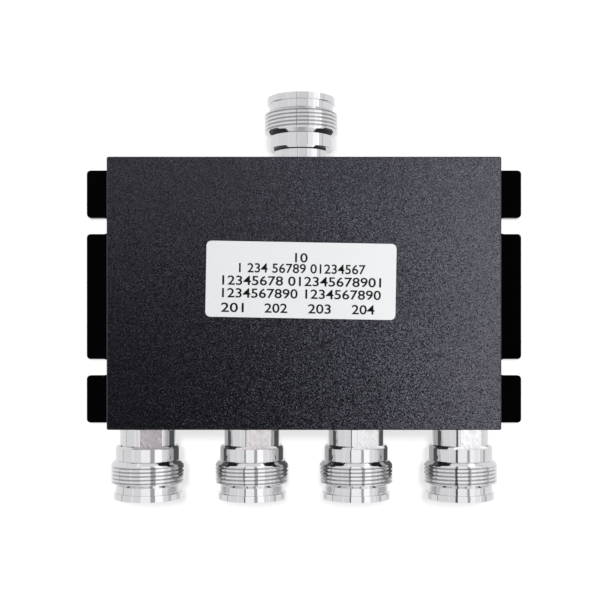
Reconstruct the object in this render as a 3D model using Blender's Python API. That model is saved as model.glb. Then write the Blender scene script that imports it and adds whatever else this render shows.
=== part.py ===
"""Four-way coaxial power splitter, built as separate pieces.

Metres, +Z up. The origin is the centre of the mounting plate's underside. The output jacks
point to -Y and the input jack to +Y. A jack's own Z axis runs out of the wall, and its
heights are measured from the outer face of that wall.
"""

import math
from typing import NamedTuple

import bmesh
import bpy
from mathutils import Matrix, Vector

# Clearances between neighbouring pieces
SEAT_GAP = 0.0003
FIT_GAP = 0.0002
STUCK_GAP = 0.00005
OVERCUT = 0.001

# Ports
OUTPUT_COUNT = 4
PORT_PITCH = 0.0285
PORT_END_MARGIN = 0.00925
PORT_HEIGHT = 0.011
INPUT_OFFSET = -0.0008
OUTPUT_TURNS = (5.0, 19.0, 27.0, 27.0)
INPUT_TURN = 31.0

# Housing
HOUSING_DEPTH = 0.072
HOUSING_TOP = 0.022
JACK_WALL = 0.006
SIDE_WALL = 0.004
ROOF = 0.0025
EDGE_BREAK = 0.0003
CAVITY_CORNER = 0.003
LIP_WIDTH = 0.0012
BOSS_RADIUS = 0.0035

# Mounting plate, which also closes the housing from below
PLATE_THICKNESS = 0.002
PLATE_INSET = 0.0003
TAB_REACH = 0.0095
TAB_CORNER = 0.001
SLOT_WIDTH = 0.0046
SLOT_SPACING = 0.040
SLOT_WALL_GAP = 0.0023
COVER_SEAL_THICKNESS = 0.0006

# Countersunk screws that hold the plate
COVER_SCREW_SHANK = 0.00145
COVER_SCREW_HEAD = 0.0029
COVER_SCREW_SINK = 0.0001
COVER_SCREW_LENGTH = 0.008
COVER_SCREW_BACK_X = 0.020
COVER_SCREW_SIDE_Y = (0.0065, -0.0195)

# Label
LABEL_LENGTH = 0.050
LABEL_DEPTH = 0.020
LABEL_THICKNESS = 0.00015
LABEL_CORNER = 0.0013
LABEL_CENTRE_Y = 0.0034
LABEL_TURN = -1.05

# Board, the strip on its underside, and the screws that hold it
BOARD_THICKNESS = 0.0015
BOARD_GAP = 0.0005
BOARD_SCREW_EDGE = 0.006
POST_RADIUS = 0.003
BOARD_SCREW_SHANK = 0.0012
BOARD_SCREW_HEAD = 0.00225
BOARD_SCREW_HEAD_HEIGHT = 0.0017
BOARD_SCREW_LENGTH = 0.006
STRIP_THICKNESS = 0.0002
TRUNK_WIDTHS = (0.0045, 0.0070, 0.0095)
TRUNK_STEP = 0.007
ARM_WIDTH = 0.005
STEM_WIDTH = 0.006
STEM_LENGTH = 0.012
YOKE_WIDTH = 0.004
LEG_WIDTH = 0.0042

# Jack body, outside
SPIGOT_RADIUS = 0.0058
NECK_RADIUS = 0.0076
FLAT_WIDTH = 0.014
FLAT_RUNOUT = 0.0005
OUTPUT_NECK_LENGTH = 0.0041
INPUT_NECK_LENGTH = 0.0022
NECK_CHAMFER = 0.0009
COLLAR_RADIUS = 0.00875
COLLAR_LENGTH = 0.0036
COLLAR_CHAMFER = 0.0013
THREAD_RADIUS = 0.010
THREAD_LENGTH = 0.0048
THREAD_RUNOUT = 0.0012
GROOVE_LENGTH = 0.0016
LIP_RADIUS = 0.00925
LIP_LENGTH = 0.0017
RIM_BREAK = 0.0002

# Jack body, inside
BORE_RADIUS = 0.0079
BORE_DEPTH = 0.009
TUBE_RADIUS = 0.0064
TUBE_RECESS = 0.002
TUBE_MOUTH_RADIUS = 0.0055
TUBE_MOUTH_DEPTH = 0.0055
TUBE_BORE_RADIUS = 0.005
REAR_BORE_RADIUS = 0.0044

# Insulator, centre contact and port seal
BEAD_LENGTH = 0.005
CONTACT_NECK_RADIUS = 0.0015
CONTACT_REAR_RADIUS = 0.0019
SOCKET_RADIUS = 0.00215
SOCKET_RECESS = 0.0045
SOCKET_BORE_RADIUS = 0.001
SOCKET_BORE_DEPTH = 0.006
SOCKET_BREAK = 0.00025
FINGER_SLOT_WIDTH = 0.0004
FINGER_SLOT_DEPTH = 0.005
PIN_RADIUS = 0.00065
PIN_REACH = 0.003
PORT_SEAL_WIDTH = 0.0007
PORT_SEAL_THICKNESS = 0.0008

# Cross recess of the countersunk screws
RECESS_SPAN = 0.0018
RECESS_WIDTH = 0.0009
RECESS_DEPTH = 0.0012

# Facets round a full turn, and in a quarter of one
JACK_FACETS = 24
HOLE_FACETS = 20
BEAD_FACETS = 16
SCREW_FACETS = 12
CORNER_FACETS = 3

# Sizes that follow from those above
HOUSING_LENGTH = (OUTPUT_COUNT - 1) * PORT_PITCH + 2 * PORT_END_MARGIN
HALF_LENGTH = HOUSING_LENGTH / 2
HALF_DEPTH = HOUSING_DEPTH / 2
HOUSING_BOTTOM = PLATE_THICKNESS + SEAT_GAP
COVER_SEAL_TOP = HOUSING_BOTTOM + COVER_SEAL_THICKNESS
LAND = COVER_SEAL_TOP + SEAT_GAP
CEILING = HOUSING_TOP - ROOF
STRIP_BOTTOM = PORT_HEIGHT + PIN_RADIUS + FIT_GAP
BOARD_BOTTOM = STRIP_BOTTOM + STRIP_THICKNESS + STUCK_GAP
BOARD_TOP = BOARD_BOTTOM + BOARD_THICKNESS
BOARD_HALF_LENGTH = HALF_LENGTH - max(SIDE_WALL, 2 * BOSS_RADIUS) - BOARD_GAP
BOARD_HALF_DEPTH = HALF_DEPTH - JACK_WALL - BOARD_GAP
PORT_SEAL_RADIUS = SPIGOT_RADIUS + FIT_GAP + PORT_SEAL_WIDTH


class Finish(NamedTuple):
    """Name, colour, roughness and metallic value of a material."""

    name: str
    colour: tuple
    roughness: float
    metallic: float


POWDER_COAT = Finish("black_powder_coat", (0.022, 0.022, 0.027), 0.62, 0.0)
PLATE_PAINT = Finish("black_plate_paint", (0.010, 0.010, 0.013), 0.55, 0.0)
PLATING = Finish("bright_plating", (0.72, 0.71, 0.70), 0.16, 1.0)
CONTACT_PLATING = Finish("contact_plating", (0.80, 0.78, 0.74), 0.22, 1.0)
WHITE_POLYMER = Finish("white_insulator", (0.82, 0.82, 0.80), 0.45, 0.0)
LABEL_FILM = Finish("white_label", (0.80, 0.80, 0.82), 0.50, 0.0)
SEAL_RUBBER = Finish("seal_rubber", (0.030, 0.030, 0.032), 0.80, 0.0)
SCREW_STEEL = Finish("screw_steel", (0.45, 0.45, 0.46), 0.35, 1.0)
LAMINATE = Finish("board_laminate", (0.62, 0.60, 0.48), 0.60, 0.0)
COPPER = Finish("strip_copper", (0.72, 0.40, 0.25), 0.35, 1.0)


class Port(NamedTuple):
    """One jack: its name, place along the wall, side, turn in degrees and neck length."""

    name: str
    x: float
    side: int
    turn: float
    neck: float


def output_x(index):
    """Place along X of output number index, counted from zero at -X."""
    return (index - (OUTPUT_COUNT - 1) / 2) * PORT_PITCH


def ports():
    """All jacks, the input on the +Y wall first."""
    listed = [Port("in", INPUT_OFFSET, 1, INPUT_TURN, INPUT_NECK_LENGTH)]
    for index in range(OUTPUT_COUNT):
        turn = OUTPUT_TURNS[index % len(OUTPUT_TURNS)]
        name = f"out_{index + 1}"
        listed.append(Port(name, output_x(index), -1, turn, OUTPUT_NECK_LENGTH))
    return listed


def port_matrix(port):
    """Places a jack's own axes: Z out of its wall, and its flats turned about that axis."""
    place = Matrix.Translation((port.x, port.side * HALF_DEPTH, PORT_HEIGHT))
    outwards = Matrix.Rotation(-port.side * math.pi / 2, 4, "X")
    flats = Matrix.Rotation(port.side * math.radians(port.turn), 4, "Z")
    return place @ outwards @ flats


def arc(x, y, radius, start, end, steps=CORNER_FACETS):
    """Points on an arc about (x, y), from start to end in degrees."""
    angles = (math.radians(start + (end - start) * step / steps) for step in range(steps + 1))
    return [(x + radius * math.cos(angle), y + radius * math.sin(angle)) for angle in angles]


def rectangle(half_length, half_depth, corner=0.0):
    """Outline of a rectangle about the origin, with round corners where corner isn't zero."""
    if corner <= 0.0:
        signs = ((-1, -1), (1, -1), (1, 1), (-1, 1))
        return [(sx * half_length, sy * half_depth) for sx, sy in signs]
    x, y = half_length - corner, half_depth - corner
    points = []
    for sx, sy, start in ((1, -1, -90), (1, 1, 0), (-1, 1, 90), (-1, -1, 180)):
        points += arc(sx * x, sy * y, corner, start, start + 90)
    return points


def add_prism(bm, outline, low, high):
    """Adds a prism with the given outline, between two heights."""
    base = bm.faces.new([bm.verts.new((x, y, low)) for x, y in outline])
    made = bmesh.ops.extrude_face_region(bm, geom=[base], use_keep_orig=True)["geom"]
    raised = [item for item in made if isinstance(item, bmesh.types.BMVert)]
    bmesh.ops.translate(bm, vec=(0.0, 0.0, high - low), verts=raised)


def add_turned(bm, profile, facets, matrix=None):
    """Adds a solid turned about Z from (radius, height) points.

    A profile that starts and ends on the axis is closed there by flat faces, and any other
    is a ring.
    """
    is_ring = min(radius for radius, _ in profile) > 0.0
    points = profile if is_ring else profile[1:-1]
    before = set(bm.verts)
    verts = [bm.verts.new((radius, 0.0, height)) for radius, height in points]
    followers = verts[1:] + verts[:1] if is_ring else verts[1:]
    edges = [bm.edges.new(pair) for pair in zip(verts, followers)]
    bmesh.ops.spin(
        bm,
        geom=verts + edges,
        axis=(0.0, 0.0, 1.0),
        cent=(0.0, 0.0, 0.0),
        angle=math.tau,
        steps=facets,
        use_merge=True,
    )
    rims = [edge for edge in bm.edges if edge.is_boundary]
    bmesh.ops.holes_fill(bm, edges=rims, sides=facets)
    if matrix is not None:
        turned = [vert for vert in bm.verts if vert not in before]
        bmesh.ops.transform(bm, matrix=matrix, verts=turned)


def add_rod(bm, radius, low, high, facets, x=0.0, y=0.0):
    """Adds an upright cylinder."""
    profile = [(0.0, low), (radius, low), (radius, high), (0.0, high)]
    add_turned(bm, profile, facets, Matrix.Translation((x, y, 0.0)))


def material(finish):
    """The material of a finish, made once."""
    found = bpy.data.materials.get(finish.name)
    if found:
        return found
    made = bpy.data.materials.new(finish.name)
    made.use_nodes = True
    shader = made.node_tree.nodes["Principled BSDF"]
    shader.inputs["Base Color"].default_value = (*finish.colour, 1.0)
    shader.inputs["Roughness"].default_value = finish.roughness
    shader.inputs["Metallic"].default_value = finish.metallic
    made.diffuse_color = (*finish.colour, 1.0)
    return made


def mesh_from(name, bm):
    """Turns a bmesh into a mesh whose faces point outwards."""
    bmesh.ops.recalc_face_normals(bm, faces=bm.faces)
    mesh = bpy.data.meshes.new(name)
    bm.to_mesh(mesh)
    bm.free()
    mesh.shade_smooth()
    mesh.set_sharp_from_angle(angle=math.radians(35.0))
    return mesh


def link(name, mesh):
    """Puts a mesh into the scene as an object."""
    placed = bpy.data.objects.new(name, mesh)
    bpy.context.scene.collection.objects.link(placed)
    return placed


def piece_mesh(name, bm, finish):
    """A mesh with its finish, for pieces that share it."""
    mesh = mesh_from(name, bm)
    mesh.materials.append(material(finish))
    return mesh


def piece(name, bm, finish):
    """A piece of the product, from a bmesh and a finish."""
    return link(name, piece_mesh(name, bm, finish))


def combine(target, name, bm, operation="DIFFERENCE"):
    """Cuts a shape out of the target, or joins it on with operation UNION."""
    tool = link(f"{target.name}_{name}", mesh_from(name, bm))
    tool.hide_render = True
    tool.display_type = "WIRE"
    step = target.modifiers.new(name, "BOOLEAN")
    step.operation = operation
    step.solver = "EXACT"
    step.object = tool


def finished_mesh(source):
    """The mesh of an object with its cuts made, for pieces that share it."""
    bpy.context.view_layer.update()
    graph = bpy.context.evaluated_depsgraph_get()
    return bpy.data.meshes.new_from_object(source.evaluated_get(graph))


def remove(source):
    """Takes a pattern piece and its tools out of the scene."""
    tools = [step.object for step in source.modifiers]
    for unused in [source, *tools]:
        bpy.data.objects.remove(unused)


def cover_screw_places():
    """Centres of the screws round the housing's edge."""
    wall_y = HALF_DEPTH - JACK_WALL / 2
    side_x = HALF_LENGTH - BOSS_RADIUS
    places = [(output_x(index) + PORT_PITCH / 2, -wall_y) for index in range(OUTPUT_COUNT - 1)]
    places += [(side * COVER_SCREW_BACK_X, wall_y) for side in (-1, 1)]
    return places + boss_places(side_x)


def boss_places(side_x):
    """Centres of the screws that sit in bosses: along the sides and in the back corners."""
    levels = (*COVER_SCREW_SIDE_Y, HALF_DEPTH - BOSS_RADIUS)
    return [(side * side_x, level) for side in (-1, 1) for level in levels]


def board_screw_places():
    """Centres of the board's screws, clear of the strip."""
    edge_x = BOARD_HALF_LENGTH - BOARD_SCREW_EDGE
    edge_y = BOARD_HALF_DEPTH - BOARD_SCREW_EDGE
    places = [(side * edge_x, edge_y) for side in (-1, 1)]
    places += [(side * PORT_PITCH / 2, edge_y) for side in (-1, 1)]
    places += [(side * PORT_PITCH, -edge_y) for side in (-1, 1)]
    return places


def cavity_shape(name, low, high, margin):
    """Inside of the housing between two heights, with its bosses left standing.

    The margin makes the walls and bosses that much thicker.
    """
    bm = bmesh.new()
    half_length = HALF_LENGTH - SIDE_WALL - margin
    half_depth = HALF_DEPTH - JACK_WALL - margin
    add_prism(bm, rectangle(half_length, half_depth, CAVITY_CORNER), low, high)
    shape = link(name, mesh_from(name, bm))
    bosses = bmesh.new()
    for x, y in boss_places(HALF_LENGTH - BOSS_RADIUS):
        radius = BOSS_RADIUS + margin
        add_rod(bosses, radius, low - OVERCUT, high + OVERCUT, HOLE_FACETS, x, y)
    combine(shape, "bosses", bosses)
    bm = bmesh.new()
    bm.from_mesh(finished_mesh(shape))
    remove(shape)
    return bm


def jack_hole_profile():
    """Hole for a jack's spigot, with a counterbore for its seal, as (radius, height)."""
    hole = SPIGOT_RADIUS + FIT_GAP
    counterbore = PORT_SEAL_RADIUS + FIT_GAP
    inner = -JACK_WALL - OVERCUT
    step = -PORT_SEAL_THICKNESS - FIT_GAP
    return [
        (0.0, inner),
        (hole, inner),
        (hole, step),
        (counterbore, step),
        (counterbore, OVERCUT),
        (0.0, OVERCUT),
    ]


def housing_holes():
    """Holes for the jacks, the cover screws and the board screws."""
    bm = bmesh.new()
    for port in ports():
        add_turned(bm, jack_hole_profile(), HOLE_FACETS, port_matrix(port))
    depth = COVER_SCREW_SINK + COVER_SCREW_LENGTH + OVERCUT
    for x, y in cover_screw_places():
        add_rod(bm, COVER_SCREW_SHANK + FIT_GAP, 0.0, depth, SCREW_FACETS, x, y)
    depth = BOARD_BOTTOM - SEAT_GAP + BOARD_SCREW_LENGTH + SEAT_GAP
    for x, y in board_screw_places():
        add_rod(bm, BOARD_SCREW_SHANK + FIT_GAP, PORT_HEIGHT, depth, SCREW_FACETS, x, y)
    return bm


def build_housing():
    """The milled housing: one block, hollow from below, with bosses and board posts."""
    bm = bmesh.new()
    add_prism(bm, rectangle(HALF_LENGTH, HALF_DEPTH), HOUSING_BOTTOM, HOUSING_TOP)
    outer = [edge for edge in bm.edges if max(vert.co.z for vert in edge.verts) > LAND]
    bmesh.ops.bevel(bm, geom=outer, offset=EDGE_BREAK, segments=1, affect="EDGES")
    housing = piece("housing", bm, POWDER_COAT)

    combine(housing, "cavity", cavity_shape("cavity", 0.0, CEILING, 0.0))

    posts = bmesh.new()
    for x, y in board_screw_places():
        low, high = BOARD_TOP + SEAT_GAP, CEILING + ROOF / 2
        add_rod(posts, POST_RADIUS, low, high, SCREW_FACETS, x, y)
    combine(housing, "posts", posts, "UNION")

    recess = bmesh.new()
    outline = rectangle(HALF_LENGTH - LIP_WIDTH, HALF_DEPTH - LIP_WIDTH)
    add_prism(recess, outline, 0.0, LAND)
    combine(housing, "seal_recess", recess)
    combine(housing, "holes", housing_holes())


def plate_edge():
    """The plate's +X edge from front to back, with the two open slots and round corners."""
    edge = HALF_LENGTH + TAB_REACH - TAB_CORNER
    half_depth = HALF_DEPTH - PLATE_INSET
    half_slot = SLOT_WIDTH / 2
    slot_centre = HALF_LENGTH + SLOT_WALL_GAP + half_slot
    points = arc(edge, TAB_CORNER - half_depth, TAB_CORNER, -90, 0)
    for level in (-SLOT_SPACING / 2, SLOT_SPACING / 2):
        points += arc(edge, level - half_slot - TAB_CORNER, TAB_CORNER, 0, 90)
        points += arc(slot_centre, level, half_slot, -90, -270, 2 * CORNER_FACETS)
        points += arc(edge, level + half_slot + TAB_CORNER, TAB_CORNER, -90, 0)
    return points + arc(edge, half_depth - TAB_CORNER, TAB_CORNER, 0, 90)


def build_base_plate():
    """The flat plate under the housing, with three tabs at each end and countersunk holes."""
    bm = bmesh.new()
    edge = plate_edge()
    add_prism(bm, edge + [(-x, -y) for x, y in edge], 0.0, PLATE_THICKNESS)
    plate = piece("base_plate", bm, PLATE_PAINT)

    hole = COVER_SCREW_SHANK + FIT_GAP
    head = COVER_SCREW_HEAD + FIT_GAP + COVER_SCREW_SINK
    profile = [
        (0.0, -OVERCUT),
        (head + OVERCUT, -OVERCUT),
        (hole, head - hole),
        (hole, PLATE_THICKNESS + OVERCUT),
        (0.0, PLATE_THICKNESS + OVERCUT),
    ]
    holes = bmesh.new()
    for x, y in cover_screw_places():
        add_turned(holes, profile, SCREW_FACETS, Matrix.Translation((x, y, 0.0)))
    combine(plate, "screw_holes", holes)


def build_cover_seal():
    """Flat frame seal between the plate and the recess in the housing's underside."""
    bm = bmesh.new()
    margin = LIP_WIDTH + SEAT_GAP
    outline = rectangle(HALF_LENGTH - margin, HALF_DEPTH - margin)
    add_prism(bm, outline, HOUSING_BOTTOM, COVER_SEAL_TOP)
    seal = piece("cover_seal", bm, SEAL_RUBBER)
    combine(seal, "opening", cavity_shape("seal_opening", 0.0, LAND, 0.0))
    holes = bmesh.new()
    for x, y in cover_screw_places():
        add_rod(holes, COVER_SCREW_SHANK + FIT_GAP, 0.0, LAND, SCREW_FACETS, x, y)
    combine(seal, "screw_holes", holes)


def cross_recess():
    """Cross-shaped drive recess that goes up into a countersunk head."""
    outline = []
    for quarter in range(4):
        turn = Matrix.Rotation(quarter * math.pi / 2, 2)
        corners = (
            (RECESS_WIDTH / 2, -RECESS_WIDTH / 2),
            (RECESS_SPAN, -RECESS_WIDTH / 2),
            (RECESS_SPAN, RECESS_WIDTH / 2),
        )
        outline += [tuple(turn @ Vector(corner)) for corner in corners]
    bm = bmesh.new()
    add_prism(bm, outline, COVER_SCREW_SINK - OVERCUT, COVER_SCREW_SINK + RECESS_DEPTH)
    return bm


def build_cover_screws():
    """Countersunk screws, heads just inside the plate's underside."""
    face = COVER_SCREW_SINK
    tip = face + COVER_SCREW_LENGTH
    shank = COVER_SCREW_SHANK
    profile = [
        (0.0, face),
        (COVER_SCREW_HEAD, face),
        (shank, face + COVER_SCREW_HEAD - shank),
        (shank, tip),
        (0.0, tip),
    ]
    bm = bmesh.new()
    add_turned(bm, profile, SCREW_FACETS)
    pattern = piece("cover_screw", bm, SCREW_STEEL)
    combine(pattern, "recess", cross_recess())
    mesh = finished_mesh(pattern)
    remove(pattern)
    for number, (x, y) in enumerate(cover_screw_places(), start=1):
        link(f"cover_screw_{number}", mesh).location = (x, y, 0.0)


def build_board_screws():
    """Pan head screws from below, through the board into the housing's posts."""
    seat = BOARD_BOTTOM - SEAT_GAP
    face = seat - BOARD_SCREW_HEAD_HEIGHT
    tip = seat + BOARD_SCREW_LENGTH
    head, shank = BOARD_SCREW_HEAD, BOARD_SCREW_SHANK
    profile = [
        (0.0, face),
        (head * 0.7, face),
        (head, face + BOARD_SCREW_HEAD_HEIGHT * 0.45),
        (head, seat),
        (shank, seat),
        (shank, tip),
        (0.0, tip),
    ]
    bm = bmesh.new()
    add_turned(bm, profile, SCREW_FACETS)
    mesh = piece_mesh("board_screw", bm, SCREW_STEEL)
    for number, (x, y) in enumerate(board_screw_places(), start=1):
        link(f"board_screw_{number}", mesh).location = (x, y, 0.0)


def build_label():
    """Stuck-on label, a little out of square with the housing."""
    bm = bmesh.new()
    outline = rectangle(LABEL_LENGTH / 2, LABEL_DEPTH / 2, LABEL_CORNER)
    add_prism(bm, outline, 0.0, LABEL_THICKNESS)
    label = piece("label", bm, LABEL_FILM)
    label.location = (INPUT_OFFSET, LABEL_CENTRE_Y, HOUSING_TOP + STUCK_GAP)
    label.rotation_euler.z = math.radians(LABEL_TURN)


def build_circuit_board():
    """Laminate board under the housing's posts."""
    bm = bmesh.new()
    add_prism(bm, rectangle(BOARD_HALF_LENGTH, BOARD_HALF_DEPTH), BOARD_BOTTOM, BOARD_TOP)
    board = piece("circuit_board", bm, LAMINATE)
    holes = bmesh.new()
    low, high = BOARD_BOTTOM - OVERCUT, BOARD_TOP + OVERCUT
    for x, y in board_screw_places():
        add_rod(holes, BOARD_SCREW_SHANK + FIT_GAP, low, high, SCREW_FACETS, x, y)
    combine(board, "screw_holes", holes)


def strip_half(side):
    """Outline of one half of the strip, from the input end round two legs to the middle."""
    start = BOARD_HALF_DEPTH - BOARD_GAP
    points = []
    for step, width in enumerate(TRUNK_WIDTHS):
        x = INPUT_OFFSET + side * width / 2
        points += [(x, start - step * TRUNK_STEP), (x, start - (step + 1) * TRUNK_STEP)]
    arm_top = start - len(TRUNK_WIDTHS) * TRUNK_STEP
    arm_bottom = arm_top - ARM_WIDTH
    yoke_top = arm_bottom - STEM_LENGTH
    yoke_bottom = yoke_top - YOKE_WIDTH
    inner, stem, outer = PORT_PITCH / 2, PORT_PITCH, PORT_PITCH * 3 / 2
    half_stem, half_leg = STEM_WIDTH / 2, LEG_WIDTH / 2
    branch = [
        (stem + half_stem, arm_top),
        (stem + half_stem, yoke_top),
        (outer + half_leg, yoke_top),
        (outer + half_leg, -start),
        (outer - half_leg, -start),
        (outer - half_leg, yoke_bottom),
        (inner + half_leg, yoke_bottom),
        (inner + half_leg, -start),
        (inner - half_leg, -start),
        (inner - half_leg, yoke_top),
        (stem - half_stem, yoke_top),
        (stem - half_stem, arm_bottom),
    ]
    return points + [(side * x, y) for x, y in branch]


def build_strip_line():
    """Copper strip that divides the input line among the outputs, under the board."""
    bm = bmesh.new()
    outline = strip_half(-1) + strip_half(1)[::-1]
    add_prism(bm, outline, STRIP_BOTTOM, STRIP_BOTTOM + STRIP_THICKNESS)
    piece("strip_line", bm, COPPER)


def jack_front(neck):
    """Height of a jack's front face above its wall."""
    threaded_end = NECK_CHAMFER + COLLAR_LENGTH + COLLAR_CHAMFER + THREAD_LENGTH + THREAD_RUNOUT
    return SEAT_GAP + neck + threaded_end + GROOVE_LENGTH + LIP_LENGTH


def jack_profile(neck):
    """Section of a jack body: up the outside, over the rim and down the inside."""
    front = jack_front(neck)
    shoulder = SEAT_GAP
    neck_end = shoulder + neck
    collar = neck_end + NECK_CHAMFER
    collar_end = collar + COLLAR_LENGTH
    thread = collar_end + COLLAR_CHAMFER
    thread_end = thread + THREAD_LENGTH
    groove = thread_end + THREAD_RUNOUT
    lip = front - LIP_LENGTH
    bore_floor = front - BORE_DEPTH
    mouth = front - TUBE_RECESS
    mouth_floor = mouth - TUBE_MOUTH_DEPTH
    return [
        (SPIGOT_RADIUS, -JACK_WALL),
        (SPIGOT_RADIUS, shoulder),
        (NECK_RADIUS, shoulder),
        (NECK_RADIUS, neck_end),
        (COLLAR_RADIUS, collar),
        (COLLAR_RADIUS, collar_end),
        (THREAD_RADIUS, thread),
        (THREAD_RADIUS, thread_end),
        (COLLAR_RADIUS, groove),
        (COLLAR_RADIUS, lip),
        (LIP_RADIUS, lip),
        (LIP_RADIUS, front - RIM_BREAK),
        (LIP_RADIUS - RIM_BREAK, front),
        (BORE_RADIUS, front),
        (BORE_RADIUS, bore_floor),
        (TUBE_RADIUS, bore_floor),
        (TUBE_RADIUS, mouth),
        (TUBE_MOUTH_RADIUS, mouth),
        (TUBE_MOUTH_RADIUS, mouth_floor),
        (TUBE_BORE_RADIUS, mouth_floor),
        (TUBE_BORE_RADIUS, 0.0),
        (REAR_BORE_RADIUS, 0.0),
        (REAR_BORE_RADIUS, -JACK_WALL),
    ]


def jack_body_mesh(neck):
    """Mesh of a jack body, turned, with two wrench flats milled on its neck."""
    bm = bmesh.new()
    add_turned(bm, jack_profile(neck), JACK_FACETS)
    pattern = piece("jack_body", bm, PLATING)
    flats = bmesh.new()
    reach, low, high = 2 * NECK_RADIUS, SEAT_GAP - OVERCUT, SEAT_GAP + neck + FLAT_RUNOUT
    for side in (-1, 1):
        near, far = side * FLAT_WIDTH / 2, side * reach
        outline = [(-reach, near), (reach, near), (reach, far), (-reach, far)]
        add_prism(flats, outline, low, high)
    combine(pattern, "flats", flats)
    mesh = finished_mesh(pattern)
    remove(pattern)
    return mesh


def bead_mesh():
    """Mesh of the insulator bead between a jack's body and its contact."""
    outer, inner = TUBE_BORE_RADIUS - FIT_GAP, CONTACT_NECK_RADIUS + FIT_GAP
    low, high = SEAT_GAP, SEAT_GAP + BEAD_LENGTH
    bm = bmesh.new()
    add_turned(bm, [(inner, low), (outer, low), (outer, high), (inner, high)], BEAD_FACETS)
    return piece_mesh("insulator", bm, WHITE_POLYMER)


def port_seal_mesh():
    """Mesh of the seal ring in the counterbore behind a jack's shoulder."""
    outer, inner = PORT_SEAL_RADIUS, SPIGOT_RADIUS + FIT_GAP
    low, high = -PORT_SEAL_THICKNESS, 0.0
    bm = bmesh.new()
    add_turned(bm, [(inner, low), (outer, low), (outer, high), (inner, high)], BEAD_FACETS)
    return piece_mesh("port_seal", bm, SEAL_RUBBER)


def contact_mesh(neck):
    """Mesh of a centre contact: a pin at the back and a slotted socket at the front."""
    back = -JACK_WALL
    rear_end = 0.0
    socket = SEAT_GAP + BEAD_LENGTH + SEAT_GAP
    front = jack_front(neck) - SOCKET_RECESS
    floor = front - SOCKET_BORE_DEPTH
    profile = [
        (0.0, back - PIN_REACH),
        (PIN_RADIUS, back - PIN_REACH),
        (PIN_RADIUS, back),
        (CONTACT_REAR_RADIUS, back),
        (CONTACT_REAR_RADIUS, rear_end),
        (CONTACT_NECK_RADIUS, rear_end),
        (CONTACT_NECK_RADIUS, socket),
        (SOCKET_RADIUS, socket),
        (SOCKET_RADIUS, front - SOCKET_BREAK),
        (SOCKET_RADIUS - SOCKET_BREAK, front),
        (SOCKET_BORE_RADIUS, front),
        (SOCKET_BORE_RADIUS, floor),
        (0.0, floor),
    ]
    bm = bmesh.new()
    add_turned(bm, profile, SCREW_FACETS)
    pattern = piece("contact", bm, CONTACT_PLATING)
    reach, half_slot = 2 * SOCKET_RADIUS, FINGER_SLOT_WIDTH / 2
    low, high = front - FINGER_SLOT_DEPTH, front + OVERCUT
    slots = {"slot_across": (reach, half_slot), "slot_along": (half_slot, reach)}
    for name, (half_x, half_y) in slots.items():
        slot = bmesh.new()
        add_prism(slot, rectangle(half_x, half_y), low, high)
        combine(pattern, name, slot)
    mesh = finished_mesh(pattern)
    remove(pattern)
    return mesh


def build_jacks():
    """The jacks: for each a body, an insulator, a centre contact and a seal on one empty."""
    bodies = {neck: jack_body_mesh(neck) for neck in (INPUT_NECK_LENGTH, OUTPUT_NECK_LENGTH)}
    contacts = {neck: contact_mesh(neck) for neck in (INPUT_NECK_LENGTH, OUTPUT_NECK_LENGTH)}
    bead, seal = bead_mesh(), port_seal_mesh()
    for port in ports():
        axis = link(f"{port.name}_axis", None)
        axis.matrix_world = port_matrix(port)
        meshes = {
            "body": bodies[port.neck],
            "insulator": bead,
            "contact": contacts[port.neck],
            "seal": seal,
        }
        for role, mesh in meshes.items():
            link(f"{port.name}_{role}", mesh).parent = axis


def main():
    for old in list(bpy.data.objects):
        bpy.data.objects.remove(old)
    build_housing()
    build_base_plate()
    build_cover_seal()
    build_cover_screws()
    build_label()
    build_circuit_board()
    build_strip_line()
    build_board_screws()
    build_jacks()


main()
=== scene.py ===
"""Looks of a four-way coaxial power splitter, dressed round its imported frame.

Metres, +Z up, in the frame's own axes: the origin is the centre of the mounting plate's
underside, the output jacks point to -Y and the input jack to +Y. A jack is turned on its own
Z axis, with heights measured from the outer face of its wall, and then put in its place.
"""

import logging
import math
from contextlib import contextmanager
from dataclasses import dataclass
from enum import Enum
from typing import Any, Callable, ClassVar, Iterator, Sequence

import bmesh
import bpy
from mathutils import Matrix, Vector


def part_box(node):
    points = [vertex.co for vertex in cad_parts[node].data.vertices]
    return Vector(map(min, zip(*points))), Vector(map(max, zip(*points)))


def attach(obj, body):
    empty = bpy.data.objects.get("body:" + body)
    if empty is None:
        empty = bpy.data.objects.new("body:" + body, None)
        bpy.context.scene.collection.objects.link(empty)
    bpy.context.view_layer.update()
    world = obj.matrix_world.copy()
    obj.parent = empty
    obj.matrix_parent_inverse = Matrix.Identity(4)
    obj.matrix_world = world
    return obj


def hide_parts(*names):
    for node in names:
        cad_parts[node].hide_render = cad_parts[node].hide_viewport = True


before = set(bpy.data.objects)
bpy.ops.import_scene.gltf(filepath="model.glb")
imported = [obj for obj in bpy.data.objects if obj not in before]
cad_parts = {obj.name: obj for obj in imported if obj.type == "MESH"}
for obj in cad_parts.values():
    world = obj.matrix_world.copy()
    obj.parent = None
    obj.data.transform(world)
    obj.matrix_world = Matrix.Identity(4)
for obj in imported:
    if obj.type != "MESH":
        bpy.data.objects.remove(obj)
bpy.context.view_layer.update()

log = logging.getLogger("splitter")

BODY = "root"
MM = 0.001
TOLERANCE = 0.00001
MERGE_DISTANCE = TOLERANCE / 20
FACING = 0.9
NOISE_RANGE = (0.3, 0.7)
LATHE_ATTRIBUTE = "lathe"
ROOT_ATTRIBUTE = "thread_root"

Profile = Sequence[tuple[float, float]]
Triple = tuple[float, float, float]
Colour = tuple[float, float, float]


class Element(Enum):
    """What is picked while a mesh is edited."""

    EDGE = "EDGE"
    FACE = "FACE"


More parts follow.
